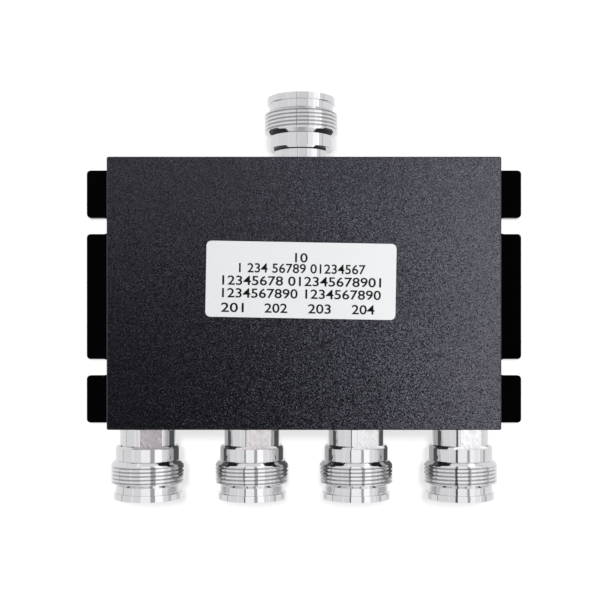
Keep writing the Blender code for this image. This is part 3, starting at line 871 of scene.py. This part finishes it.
@dataclass
class JackBody:
    """A turned and plated jack body: neck with milled flats, collar, thread, groove and lip."""

    neck: float
    facets: int = 96
    wall: float = 6.0 * MM
    seat_gap: float = 0.3 * MM
    spigot_radius: float = 5.8 * MM
    neck_radius: float = 7.6 * MM
    flat_width: float = 14.0 * MM
    flat_runout: float = 0.7 * MM
    neck_shoulder: float = 0.8 * MM
    neck_steps: Profile = ((0.84 * MM, 0.12 * MM),)
    collar_radius: float = 8.75 * MM
    collar_length: float = 3.3 * MM
    collar_shoulder: float = 1.3 * MM
    collar_steps: Profile = ((0.42 * MM, 0.10 * MM), (1.08 * MM, 0.95 * MM))
    thread_radius: float = 10.0 * MM
    thread_length: float = 4.8 * MM
    thread_runout: float = 0.8 * MM
    groove_length: float = 2.0 * MM
    lip_radius: float = 9.25 * MM
    lip_length: float = 1.7 * MM
    bore_radius: float = 7.9 * MM
    bore_depth: float = 9.0 * MM
    tube_radius: float = 6.4 * MM
    tube_recess: float = 2.0 * MM
    tube_mouth_radius: float = 5.5 * MM
    tube_mouth_depth: float = 5.5 * MM
    tube_bore_radius: float = 5.0 * MM
    rear_bore_radius: float = 4.4 * MM
    edge_round: float = 0.06 * MM
    thread_pitch: float = 1.0 * MM
    thread_depth: float = 0.40 * MM
    thread_turns: int = 6
    groove_half_width: float = 0.19 * MM
    root_half_width: float = 0.06 * MM
    crest_round: float = 0.05 * MM
    cutter_reach: float = 0.4 * MM
    sharp_angle: float = 20.0

    FLATS_INDEX: ClassVar[int] = 1
    STEP_SHARES: ClassVar[tuple[float, ...]] = (0.1, 0.9, 1.0)
    FLAT_FACING: ClassVar[float] = 0.99

    @property
    def thread_start(self) -> float:
        """Height where the thread's full radius begins."""
        collar = self.seat_gap + self.neck + self.neck_shoulder
        return collar + self.collar_length + self.collar_shoulder

    @property
    def front(self) -> float:
        """Height of the front face."""
        threaded = self.thread_start + self.thread_length + self.thread_runout
        return threaded + self.groove_length + self.lip_length

    def shoulder(self, start: Vector, steps: Profile, end: Vector) -> Profile:
        """Points of a shoulder in several straight steps, without its start.

        Args:
            start: Its first (radius, height).
            steps: How far each corner between its ends is out and up from its start.
            end: Its last (radius, height), further out and higher up.

        Returns:
            The (radius, height) points, with two more near the ends of each step, which
            keep the step's own slope where the corners are smoothed.
        """
        corners = [start + Vector(step) for step in steps] + [end]
        points = [tuple(corners[0])]
        for low, high in zip(corners, corners[1:]):
            points += [tuple(low.lerp(high, share)) for share in self.STEP_SHARES]
        return points

    def profile(self) -> Profile:
        """Section of the blank: up the outside, over the rim and down the inside."""
        neck_end = self.seat_gap + self.neck
        neck_top = Vector((self.neck_radius, neck_end))
        collar_start = Vector((self.collar_radius, neck_end + self.neck_shoulder))
        collar_end = Vector((self.collar_radius, self.thread_start - self.collar_shoulder))
        thread_start = Vector((self.thread_radius, self.thread_start))
        thread_end = self.thread_start + self.thread_length
        mouth = self.front - self.tube_recess
        mouth_floor = mouth - self.tube_mouth_depth
        bore_floor = self.front - self.bore_depth
        lip = self.front - self.lip_length
        return [
            (self.spigot_radius, -self.wall),
            (self.spigot_radius, self.seat_gap),
            (self.neck_radius, self.seat_gap),
            tuple(neck_top),
            *self.shoulder(neck_top, self.neck_steps, collar_start),
            tuple(collar_end),
            *self.shoulder(collar_end, self.collar_steps, thread_start),
            (self.thread_radius, thread_end),
            (self.collar_radius, thread_end + self.thread_runout),
            (self.collar_radius, lip),
            (self.lip_radius, lip),
            (self.lip_radius, self.front),
            (self.bore_radius, self.front),
            (self.bore_radius, bore_floor),
            (self.tube_radius, bore_floor),
            (self.tube_radius, mouth),
            (self.tube_mouth_radius, mouth),
            (self.tube_mouth_radius, mouth_floor),
            (self.tube_bore_radius, mouth_floor),
            (self.tube_bore_radius, 0.0),
            (self.rear_bore_radius, 0.0),
            (self.rear_bore_radius, -self.wall),
        ]

    def thread_tool(self) -> Workpiece:
        """A helical cutter: its section is grown from a plane, then screwed along the axis."""
        outer = self.thread_radius + self.cutter_reach
        top = self.groove_half_width + self.crest_round
        steps = (
            (self.thread_radius, top),
            (self.thread_radius - self.crest_round, self.groove_half_width),
            (self.thread_radius - self.thread_depth, self.root_half_width),
        )
        deselect()
        bpy.ops.mesh.primitive_plane_add(
            size=1.0,
            location=((outer + steps[0][0]) / 2, 0.0, self.thread_start),
            rotation=(math.pi / 2, 0.0, 0.0),
        )
        bpy.context.object.scale = (self.cutter_reach, 2 * top, 1.0)
        tool = Workpiece.taken("thread_tool")
        with tool.editing(Element.EDGE):
            tool.pick(
                Element.EDGE,
                lambda edge: all(abs(end.co.x - self.thread_radius) < TOLERANCE for end in edge.verts),
            )
            for (radius, half), (deeper, narrower) in zip(steps, steps[1:]):
                inwards = (deeper - radius, 0.0, 0.0)
                bpy.ops.mesh.extrude_region_move(TRANSFORM_OT_translate={"value": inwards})
                centre = (deeper, 0.0, self.thread_start)
                share = narrower / half
                bpy.ops.transform.resize(value=(1.0, 1.0, share), center_override=centre)
            bpy.ops.mesh.select_mode(type="FACE")
            bpy.ops.mesh.select_all(action="SELECT")
            bpy.ops.mesh.dissolve_faces()
            bpy.ops.mesh.delete(type="ONLY_FACE")
        helix = tool.body.modifiers.new("helix", "SCREW")
        helix.axis = "Z"
        helix.screw_offset = self.thread_pitch
        helix.iterations = self.thread_turns
        helix.steps = self.facets
        helix.render_steps = self.facets
        helix.use_merge_vertices = False
        tool.activate()
        bpy.ops.object.modifier_apply(modifier=helix.name)
        self._lead_in(tool)
        with tool.editing(Element.EDGE):
            bpy.ops.mesh.select_all(action="SELECT")
            bpy.ops.mesh.fill_holes(sides=0)
            bpy.ops.mesh.select_all(action="SELECT")
            bpy.ops.mesh.normals_make_consistent(inside=False)
        return tool

    def _lead_in(self, tool: Workpiece) -> None:
        """Lifts the cutter out over its first quarter turn, so that the thread fades in."""
        quarter = math.pi / 2
        for vertex in tool.body.data.vertices:
            angle = math.atan2(vertex.co.y, vertex.co.x) % math.tau
            centre = self.thread_start + self.thread_pitch * angle / math.tau
            if angle < quarter and abs(vertex.co.z - centre) < self.thread_pitch / 2:
                radius = math.hypot(vertex.co.x, vertex.co.y)
                lifted = radius + self.thread_depth * (1 - angle / quarter)
                vertex.co.x *= lifted / radius
                vertex.co.y *= lifted / radius

    def note_thread_roots(self, mesh: bpy.types.Mesh) -> None:
        """Notes how deep in the thread's groove each point is, from 0 at the crest to 1, for the painted
        shade in the roots.
        """
        noted = mesh.attributes.new(ROOT_ATTRIBUTE, "FLOAT", "POINT")
        last = self.thread_start + self.thread_length + self.thread_pitch / 3
        for point, vertex in zip(noted.data, mesh.vertices):
            depth = self.thread_radius - math.hypot(vertex.co.x, vertex.co.y)
            in_thread = self.thread_start + TOLERANCE < vertex.co.z < last
            if in_thread and depth < self.thread_depth + TOLERANCE:
                point.value = max(0.0, min(1.0, depth / self.thread_depth))

    def flat_tool(self, side: int) -> Workpiece:
        """A block that mills one wrench flat."""
        near = side * self.flat_width / 2
        far = side * 2 * self.neck_radius
        low = (-2 * self.neck_radius, min(near, far), self.seat_gap - MM)
        high = (2 * self.neck_radius, max(near, far), self.seat_gap + self.neck + self.flat_runout)
        return Workpiece.block("flat_tool", low, high)

    def build(self) -> Workpiece:
        """Turns the blank, rounds its edges, cuts the thread and mills the flats.

        Returns:
            The body on the lathe's own axis.
        """
        made = Workpiece.turned("jack_body", self.profile(), self.facets, ring=True)
        made.soften(self.sharp_angle, self.edge_round)
        made.cut(self.thread_tool())
        for side in (-1, 1):
            made.cut(self.flat_tool(side))
        made.clean().smooth().keep_lathe_places()
        mesh = made.body.data
        self.note_thread_roots(mesh)
        mesh.materials.append(JACK_PLATING.material())
        mesh.materials.append(JACK_FLATS.material())
        for face in mesh.polygons:
            is_flat = abs(abs(face.center.y) - self.flat_width / 2) < TOLERANCE
            if is_flat and abs(face.normal.y) > self.FLAT_FACING:
                face.material_index = self.FLATS_INDEX
        return made


@dataclass
class CentreContact:
    """A centre contact: a pin at the back and a socket of four sprung fingers in front."""

    front: float
    facets: int = 48
    wall: float = 6.0 * MM
    pin_radius: float = 0.65 * MM
    pin_reach: float = 3.0 * MM
    rear_radius: float = 1.9 * MM
    neck_radius: float = 1.5 * MM
    shoulder: float = 5.6 * MM
    socket_radius: float = 2.15 * MM
    socket_recess: float = 4.5 * MM
    socket_bore_radius: float = 1.0 * MM
    socket_bore_depth: float = 6.0 * MM
    slot_width: float = 0.4 * MM
    slot_depth: float = 5.0 * MM
    edge_round: float = 0.12 * MM
    sharp_angle: float = 40.0

    @property
    def tip(self) -> float:
        """Height of the fingers' tips."""
        return self.front - self.socket_recess

    def profile(self) -> Profile:
        """Section from the pin's tip to the floor of the socket's bore."""
        return [
            (self.pin_radius, -self.wall - self.pin_reach),
            (self.pin_radius, -self.wall),
            (self.rear_radius, -self.wall),
            (self.rear_radius, 0.0),
            (self.neck_radius, 0.0),
            (self.neck_radius, self.shoulder),
            (self.socket_radius, self.shoulder),
            (self.socket_radius, self.tip),
            (self.socket_bore_radius, self.tip),
            (self.socket_bore_radius, self.tip - self.socket_bore_depth),
        ]

    def build(self) -> Workpiece:
        """Turns the contact and slots its fingers.

        Returns:
            The contact on the lathe's own axis.
        """
        made = Workpiece.turned("contact", self.profile(), self.facets)
        made.soften(self.sharp_angle, self.edge_round, 3)
        reach, half = 2 * self.socket_radius, self.slot_width / 2
        for half_x, half_y in ((reach, half), (half, reach)):
            low = (-half_x, -half_y, self.tip - self.slot_depth)
            high = (half_x, half_y, self.tip + MM)
            made.cut(Workpiece.block("slot_tool", low, high))
        return made.clean().smooth().keep_lathe_places()


@dataclass
class InsulatorBead:
    """A white bead that centres the contact, with a turned step on its front face."""

    facets: int = 64
    low: float = 0.3 * MM
    length: float = 5.0 * MM
    outer_radius: float = 4.8 * MM
    inner_radius: float = 1.7 * MM
    step_outer: float = 3.9 * MM
    step_inner: float = 2.5 * MM
    step_depth: float = 0.6 * MM
    edge_round: float = 0.1 * MM
    sharp_angle: float = 40.0

    def build(self) -> Workpiece:
        """Turns the bead on the lathe's own axis."""
        high = self.low + self.length
        floor = high - self.step_depth
        profile = [
            (self.outer_radius, self.low),
            (self.outer_radius, high),
            (self.step_outer, high),
            (self.step_outer, floor),
            (self.step_inner, floor),
            (self.step_inner, high),
            (self.inner_radius, high),
            (self.inner_radius, self.low),
        ]
        made = Workpiece.turned("insulator", profile, self.facets, ring=True)
        return made.soften(self.sharp_angle, self.edge_round).clean().smooth()


class Jacks:
    """All jacks: for each a body, a contact and an insulator."""

    def build(self) -> None:
        """Makes each pattern once, copies it to every port and dresses the copies."""
        bead = InsulatorBead().build()
        patterns = {}
        for neck in sorted({port.neck for port in PORTS}):
            body = JackBody(neck)
            patterns[neck] = (body.build(), CentreContact(body.front).build())
        for port in PORTS:
            body, contact = patterns[port.neck]
            pieces = (
                (body, "jack", JACK_PLATING, Slot.JACK_PLATING, "body"),
                (contact, "socket", CONTACT_PLATING, Slot.CONTACT_PLATING, "contact"),
                (bead, "bead", WHITE_POLYMER, Slot.INSULATOR, "insulator"),
            )
            for pattern, name, finish, slot, node in pieces:
                copy = pattern.copied(f"{port.name}_{name}").placed(port.matrix())
                copy.finished(finish, slot, f"{port.name}_{node}")
                if name == "jack":
                    copy.body.data.materials[JackBody.FLATS_INDEX] = port.flats.material()
        bead.discard()
        for pair in patterns.values():
            for pattern in pair:
                pattern.discard()


@dataclass
class CoverScrews:
    """Countersunk screws with a cross recess, seen from below."""

    facets: int = 48
    count: int = 11
    head_radius: float = 2.9 * MM
    shank_radius: float = 1.45 * MM
    sink: float = 0.1 * MM
    length: float = 8.0 * MM
    tip_chamfer: float = 0.5 * MM
    rim: float = 0.15 * MM
    recess_span: float = 1.75 * MM
    recess_width: float = 0.8 * MM
    recess_depth: float = 1.15 * MM
    recess_taper: float = 0.45
    turn_step: float = 37.0
    edge_round: float = 0.05 * MM
    sharp_angle: float = 25.0
    smooth_angle: float = 35.0

    def profile(self) -> Profile:
        """Section from the head's face to the tip."""
        cone = self.sink + self.head_radius - self.shank_radius
        return [
            (self.head_radius, self.sink),
            (self.head_radius, self.sink + self.rim),
            (self.shank_radius, cone + self.rim),
            (self.shank_radius, self.sink + self.length - self.tip_chamfer),
            (self.shank_radius - self.tip_chamfer, self.sink + self.length),
        ]

    def recess_tool(self, quarter: int) -> Workpiece:
        """One blade of the cross recess, narrower and shorter towards its tip."""
        half_long, half_wide = self.recess_span, self.recess_width / 2
        low = (-half_long, -half_wide, self.sink - MM)
        high = (half_long, half_wide, self.sink + self.recess_depth)
        tool = Workpiece.block("recess_tool", low, high)
        with tool.editing(Element.FACE):
            tool.pick(Element.FACE, lambda face: face.normal.z > FACING)
            scale = (self.recess_taper, self.recess_taper, 1.0)
            bpy.ops.transform.resize(value=scale, center_override=(0.0, 0.0, high[2]))
        return tool.placed(Matrix.Rotation(quarter * math.pi / 2, 4, "Z"))

    def build(self) -> None:
        """Makes one screw and copies it to each frame node's place."""
        pattern = Workpiece.turned("screw", self.profile(), self.facets)
        pattern.soften(self.sharp_angle, self.edge_round)
        for quarter in range(2):
            pattern.cut(self.recess_tool(quarter))
        pattern.clean().smooth(self.smooth_angle)
        for number in range(1, self.count + 1):
            node = f"cover_screw_{number}"
            low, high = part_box(node)
            centre = (low + high) / 2
            turn = Matrix.Rotation(math.radians(self.turn_step * number), 4, "Z")
            place = Matrix.Translation((centre.x, centre.y, 0.0)) @ turn
            copy = pattern.copied(f"plate_screw_{number}")
            copy.placed(place).finished(SCREW_STEEL, Slot.SCREW, node)
        pattern.discard()


@dataclass(frozen=True)
class PrintRow:
    """A row of print: its text, the place of its centre on the label, and its width."""

    text: str
    x: float
    y: float
    span: float


@dataclass
class Label:
    """The label on the top: coated film with round corners, and rows of plain numbers."""

    length: float = 50.0 * MM
    depth: float = 20.0 * MM
    film: float = 0.13 * MM
    ink: float = 0.02 * MM
    corner: float = 1.3 * MM
    corner_steps: int = 8
    turn: float = -1.05
    smooth_angle: float = 40.0
    digit_height: float = 2.45 * MM
    digit_share: float = 0.71
    boldness: float = 0.045 * MM
    ink_rise: float = 0.6
    curve_steps: int = 4
    rows: tuple[PrintRow, ...] = (
        PrintRow("10", 0.0, 5.78 * MM, 3.3 * MM),
        PrintRow("1 234 56789 01234567", 0.3 * MM, 2.92 * MM, 33.3 * MM),
        PrintRow("12345678 012345678901", 0.2 * MM, -0.43 * MM, 41.8 * MM),
        PrintRow("1234567890 1234567890", 0.2 * MM, -3.75 * MM, 41.8 * MM),
        *(
            PrintRow(str(number), x, -7.6 * MM, 6.0 * MM)
            for number, x in zip(range(201, 205), (-17.9 * MM, -6.45 * MM, 5.0 * MM, 16.5 * MM))
        ),
    )

    def matrix(self) -> Matrix:
        """From the label's own axes to the frame: its top face is at height zero."""
        low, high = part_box("label")
        centre = (low + high) / 2
        place = Matrix.Translation((centre.x, centre.y, high.z - self.ink))
        return place @ Matrix.Rotation(math.radians(self.turn), 4, "Z")

    def build_film(self) -> None:
        """The film, with its corners rounded."""
        low = (-self.length / 2, -self.depth / 2, -self.film)
        high = (self.length / 2, self.depth / 2, 0.0)
        film = Workpiece.block("label_film", low, high)
        with film.editing(Element.EDGE):
            film.pick(
                Element.EDGE,
                lambda edge: abs(edge.verts[0].co.z - edge.verts[1].co.z) > self.film / 2,
            )
            bpy.ops.mesh.bevel(offset=self.corner, segments=self.corner_steps, affect="EDGES")
        film.smooth(self.smooth_angle).placed(self.matrix())
        film.finished(LABEL_FILM, Slot.LABEL, "label")

    def build_row(self, number: int, row: PrintRow) -> None:
        """One row of print, made as wide as its span and centred on its place."""
        deselect()
        bpy.ops.object.text_add()
        text = bpy.context.object
        text.data.body = row.text
        text.data.size = self.digit_height / self.digit_share
        text.data.align_x = text.data.align_y = "CENTER"
        text.data.offset = self.boldness
        text.data.extrude = self.ink / 4
        text.data.resolution_u = self.curve_steps
        bpy.ops.object.convert(target="MESH")
        made = Workpiece.taken(f"print_{number}")
        xs = [vertex.co.x for vertex in made.body.data.vertices]
        width = max(xs) - min(xs)
        log.info("row %d: stretch %.2f", number, row.span / width)
        spread = Matrix.Scale(row.span / width, 4, (1.0, 0.0, 0.0))
        centred = Matrix.Translation((-(max(xs) + min(xs)) / 2, 0.0, 0.0))
        place = Matrix.Translation((row.x, row.y, self.ink * self.ink_rise))
        made.placed(self.matrix() @ place @ spread @ centred)
        made.clean().finished(LABEL_INK, Slot.LABEL)

    def build(self) -> None:
        """Makes the film and all its print."""
        self.build_film()
        for number, row in enumerate(self.rows, start=1):
            self.build_row(number, row)


@dataclass
class FramePieces:
    """Frame nodes that keep their own shape and get their finish."""

    finishes: tuple[tuple[str, Finish, Slot], ...] = (
        ("housing", HOUSING_COAT, Slot.HOUSING_COAT),
        ("base_plate", PLATE_COAT, Slot.PLATE_COAT),
        ("cover_seal", SEAL_RUBBER, Slot.SEAL),
        ("circuit_board", BOARD_LAMINATE, Slot.LAMINATE),
        ("strip_line", STRIP_COPPER, Slot.STRIP),
    )
    board_screws: int = 6

    def build(self) -> None:
        """Dresses each node."""
        chosen = list(self.finishes)
        chosen += [(f"{port.name}_seal", SEAL_RUBBER, Slot.SEAL) for port in PORTS]
        screws = range(1, self.board_screws + 1)
        chosen += [(f"board_screw_{number}", SCREW_STEEL, Slot.SCREW) for number in screws]
        for name, finish, slot in chosen:
            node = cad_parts[name]
            node.data.materials.clear()
            node.data.materials.append(finish.material())
            log.info("%s: frame node, finish %s", name, finish.name)


@dataclass(frozen=True)
class StripLight:
    """A long soft light over one jack, which lights that jack alone.

    It reaches from the start angle to the end angle, in degrees from straight up towards +X,
    as seen from the jack.
    """

    port: str
    start: float
    end: float
    level: float
    distance: float = 0.5
    length: float = 2.0

    def build(self, number: int) -> None:
        """Hangs the light over its jack and links it to the jack's pieces."""
        middle = math.radians(self.start + self.end) / 2
        half = math.radians(self.end - self.start) / 2
        low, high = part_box(f"{self.port}_body")
        centre = (low + high) / 2
        offset = Vector((math.sin(middle), 0.0, math.cos(middle))) * self.distance
        size = (2 * self.distance * math.tan(half), self.length)
        name = f"strip_{number}_{self.port}"
        light = hang_light(name, centre + offset, (0.0, middle, 0.0), size, self.level)
        parts = ("jack", "socket", "bead")
        link_light(light, [f"{self.port}_{part}" for part in parts])


# For each jack: the start, end and level of every strip light over it.
STRIPS: dict[str, Sequence[Triple]] = {
    "out_1": (
        (-46.6, -16.0, 0.90), (-16.0, 16.5, 1.20), (16.5, 32.0, 0.42), (32.0, 59.0, 1.42),
        (59.0, 64.0, 0.90),
    ),
    "out_2": (
        (-46.3, -23.5, 0.90), (-19.5, 10.5, 1.20), (10.5, 21.5, 0.42), (21.5, 43.0, 1.42),
        (43.0, 64.3, 0.98),
    ),
    "out_3": (
        (-46.2, -23.5, 0.90), (-19.5, 15.5, 1.20), (15.5, 25.0, 0.42), (25.0, 46.0, 1.42),
        (46.0, 64.3, 0.98),
    ),
    "out_4": (
        (-46.1, -23.5, 0.90), (-15.6, 16.6, 1.15), (16.6, 26.2, 0.42), (26.2, 43.0, 1.28),
        (43.0, 64.3, 1.10),
    ),
    "in": (
        (-46.0, -23.5, 0.90), (-23.5, -15.0, 0.90), (-13.5, -8.5, 1.00), (-8.5, 22.5, 0.82),
        (23.5, 43.0, 1.12), (43.0, 66.0, 1.38),
    ),
}
# Lengths in metres, for the jacks whose strips aren't as long as the others.
STRIP_LENGTHS = {"in": 1.4}
STRIP_LIGHTS = tuple(
    StripLight(port, *strip, length=STRIP_LENGTHS.get(port, StripLight.length))
    for port, strips in STRIPS.items()
    for strip in strips
)


def hang_light(
    name: str,
    place: Vector,
    turn: Triple,
    size: tuple[float, float],
    level: float,
) -> bpy.types.Object:
    """Adds a rectangular light, which shines down where its turn is zero.

    Args:
        name: The light's name.
        place: Where its centre is.
        turn: Its turn in radians.
        size: Its sides along its own X and Y.
        level: How bright its face is.

    Returns:
        The light.
    """
    deselect()
    bpy.ops.object.light_add(type="AREA", location=place, rotation=turn)
    light = bpy.context.object
    light.name = name
    light.data.name = name
    light.data.shape = "RECTANGLE"
    light.data.size, light.data.size_y = size
    light.data.energy = level * math.pi * size[0] * size[1]
    return light


def link_light(light: bpy.types.Object, names: Sequence[str]) -> None:
    """Lets a light reach only the named objects."""
    lit = bpy.data.collections.new(f"{light.name}_lit")
    for name in names:
        lit.objects.link(bpy.data.objects[name])
    light.light_linking.receiver_collection = lit


@dataclass(frozen=True)
class SoftLight:
    """A softbox that faces the origin, one side along X, and lights one piece alone."""

    name: str
    place: Triple
    size: tuple[float, float]
    level: float
    piece: str

    def build(self) -> None:
        """Hangs the light and links it to its piece."""
        place = Vector(self.place)
        away = place.normalized()
        side = (Vector((1.0, 0.0, 0.0)) - away * away.x).normalized()
        turn = tuple(Matrix((side, away.cross(side), away)).transposed().to_euler())
        link_light(hang_light(self.name, place, turn, self.size, self.level), [self.piece])


@dataclass(frozen=True)
class Flag:
    """A card of painted shade between two jacks, which faces -X or +X, from one height to another; it
    stands for the shaded floor there.
    """

    side: int
    finish: Finish
    low: float
    high: float


@dataclass
class Studio:
    """The white floor, the cards, the light tent with its lights, and the camera."""

    floor_half: float = 2.0
    floor_level: float = -0.00005
    tent: float = 1.0
    backdrop: float = 1.05
    gap: float = 0.12
    gap_start: float = -46.0
    gap_end: float = 64.0
    gap_reach: float = 64.0
    horizon: float = 82.0
    horizon_share: float = 0.5
    far_side: float = -80.0
    edge: float = 0.8
    reach_fade: float = 4.0
    far_fade: float = 3.0
    soft_lights: tuple[SoftLight, ...] = (
        SoftLight("coat_key", (0.400, 0.030, 0.94), (0.560, 0.584), 6.2, "housing"),
        SoftLight("coat_fill", (-0.116, 0.440, 0.80), (0.592, 0.732), 1.55, "housing"),
        SoftLight("label_key", (0.29, 0.05, 0.57), (0.20, 0.20), 25.0, "label_film"),
        SoftLight("label_fill", (-0.22, 0.40, 0.46), (0.24, 0.24), 3.5, "label_film"),
    )
    # Cards of painted shade, which stand for the shaded floor in the jacks' reflections.
    flags: tuple[Flag, ...] = (
        Flag(1, LIGHT_SHADE_CARD, 0.0, 0.0118),
        Flag(1, DEEP_SHADE_CARD, 0.0118, 0.0155),
        Flag(-1, LIGHT_SHADE_CARD, 0.0, 0.0025),
        Flag(-1, DEEP_SHADE_CARD, 0.0025, 0.0128),
        Flag(-1, LIGHT_SHADE_CARD, 0.0128, 0.0155),
    )
    flag_setback: float = 0.0055
    flag_length: float = 0.0125
    flag_half: float = 0.0001
    sun_tilt: float = 11.5
    sun_angle: float = 9.0
    sun_level: float = 7.2
    camera_place: Triple = (0.0, -0.0123, 0.285)
    lens: float = 59.17
    sensor: float = 36.0
    clip: tuple[float, float] = (0.01, 20.0)
    shift_y: float = 0.0592

    def build_camera(self) -> None:
        """The camera looks straight down, with the photograph's perspective and framing."""
        bpy.ops.object.camera_add(location=self.camera_place, rotation=(0.0, 0.0, 0.0))
        camera = bpy.context.object
        camera.name = "camera"
        camera.data.lens = self.lens
        camera.data.sensor_width = self.sensor
        camera.data.shift_y = self.shift_y
        camera.data.clip_start, camera.data.clip_end = self.clip
        bpy.context.scene.camera = camera

    def build_floor(self) -> None:
        """A plain white table top just under the mounting plate."""
        deselect()
        place = (0.0, 0.0, self.floor_level)
        bpy.ops.mesh.primitive_plane_add(size=2 * self.floor_half, location=place)
        floor = Workpiece.taken("floor")
        floor.body.data.materials.append(FLOOR_WHITE.material())

    def build_tent(self) -> None:
        """White light from all round, with a dark gap overhead and two darker horizons.

        The one on +X is half dark and the one on -Y is dark. The camera sees the tent as a
        plain white backdrop.
        """
        world = bpy.data.worlds.new("light_tent")
        world.use_nodes = True
        graph = Graph(world.node_tree)
        direction = graph.node("ShaderNodeTexCoord").outputs["Generated"]
        x, y, z = graph.split(direction)
        across = x.direction(z) * math.degrees(1.0)
        along = y.direction(z) * math.degrees(1.0)
        half = self.edge / 2
        reach = abs(along).step(self.gap_reach, self.reach_fade, 1.0, 0.0)
        overhead = across.step(self.gap_start, half) * across.step(self.gap_end, half, 1.0, 0.0) * reach
        sides = across.step(self.horizon, half) * reach
        behind = along.step(self.far_side, self.far_fade, 1.0, 0.0)
        dark = 1.0 - (1.0 - overhead) * (1.0 - sides * self.horizon_share) * (1.0 - behind)
        light = self.tent - dark * (self.tent - self.gap)
        seen = Value(graph, graph.node("ShaderNodeLightPath").outputs["Is Camera Ray"])
        light = light + seen * (self.backdrop - light)
        shade = graph.node("ShaderNodeBackground", inputs={"Color": (1.0, 1.0, 1.0, 1.0), 1: light})
        graph.node("ShaderNodeOutputWorld", inputs={0: shade.outputs[0]})
        bpy.context.scene.world = world

    def build(self) -> None:
        """Makes the camera, the floor, the cards and the light tent."""
        self.build_camera()
        self.build_floor()
        self.build_flags()
        self.build_tent()
        view = bpy.context.scene.view_settings
        view.view_transform, view.look = "Standard", "None"

    def build_flags(self) -> None:
        """Cards of painted shade between the output jacks, which only reflections see: they stand for the
        shaded floor between the jacks.
        """
        outputs = [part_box(f"{port.name}_body") for port in PORTS if port.side < 0]
        for number, (left, right) in enumerate(zip(outputs, outputs[1:]), start=1):
            middle = (left[1].x + right[0].x) / 2
            front = left[0].y + self.flag_setback
            for part, shade_card in enumerate(self.flags, start=1):
                centre = middle + shade_card.side * 2 * self.flag_half
                low = (centre - self.flag_half, front, shade_card.low)
                high = (centre + self.flag_half, front + self.flag_length, shade_card.high)
                card = Workpiece.block(f"flag_{number}_{part}", low, high)
                card.body.data.materials.append(shade_card.finish.material())
                for ray in ("camera", "diffuse", "shadow"):
                    setattr(card.body, f"visible_{ray}", False)

    def build_sun(self) -> None:
        """A sun that lights the floor alone, so that the object throws a short soft shadow."""
        deselect()
        turn = (-math.radians(self.sun_tilt), 0.0, 0.0)
        bpy.ops.object.light_add(type="SUN", rotation=turn)
        sun = bpy.context.object
        sun.name = "floor_sun"
        sun.data.angle = math.radians(self.sun_angle)
        sun.data.energy = self.sun_level
        link_light(sun, ["floor"])

    def build_lights(self) -> None:
        """Hangs the sun, the softboxes over the box and the strips over the jacks."""
        self.build_sun()
        for light in self.soft_lights:
            light.build()
        for number, strip in enumerate(STRIP_LIGHTS, start=1):
            strip.build(number)


def main() -> None:
    """Builds the studio and every sub-assembly in order."""
    logging.basicConfig(level=logging.INFO, format="%(name)s: %(message)s")
    deselect()
    studio = Studio()
    studio.build()
    FramePieces().build()
    Jacks().build()
    CoverScrews().build()
    Label().build()
    studio.build_lights()


if __name__ == "__main__":
    main()
